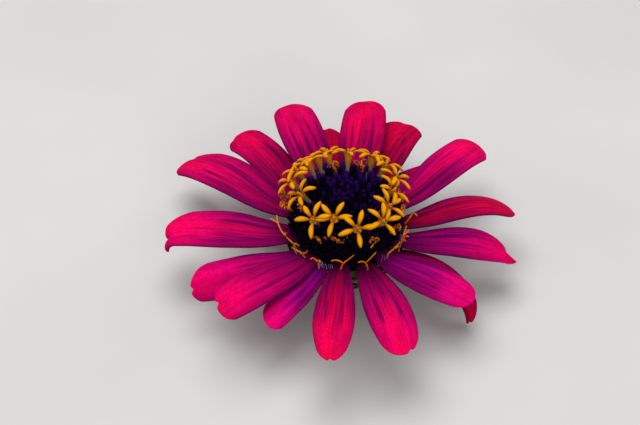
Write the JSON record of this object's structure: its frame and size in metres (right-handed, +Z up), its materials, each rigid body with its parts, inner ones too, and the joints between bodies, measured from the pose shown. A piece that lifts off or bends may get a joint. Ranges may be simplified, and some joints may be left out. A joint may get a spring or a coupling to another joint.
{
  "type": "zinnia flower",
  "caption": "Single zinnia bloom as picked, with notched rays in layers round a dark scaly dome and a ring of open star-shaped florets, standing on its short cut neck.",
  "frame": {"origin": "middle of the bloom's box, on the surface that the cut neck stands on", "axes": "+Z up along the flower's axis, -Y towards the side that the picture shows nearest"},
  "size_m": [0.0714, 0.073, 0.0271],
  "materials": {
    "ray": "matte",
    "disc_scales": "matte",
    "open_floret": "matte",
    "bract_green": "matte"
  },
  "bodies": {
    "root": {"bract_cup": "bract_green", "disc": "disc_scales", "open_florets": "open_floret", "ray_floret_01": "ray", "ray_floret_02": "ray", "ray_floret_03": "ray", "ray_floret_04": "ray", "ray_floret_05": "ray", "ray_floret_06": "ray", "ray_floret_07": "ray", "ray_floret_08": "ray", "ray_floret_09": "ray", "ray_floret_10": "ray", "ray_floret_11": "ray", "ray_floret_12": "ray", "ray_floret_13": "ray", "ray_floret_14": "ray", "ray_floret_15": "ray", "ray_floret_16": "ray", "ray_floret_17": "ray", "ray_floret_18": "ray"}
  },
  "joints": []
}
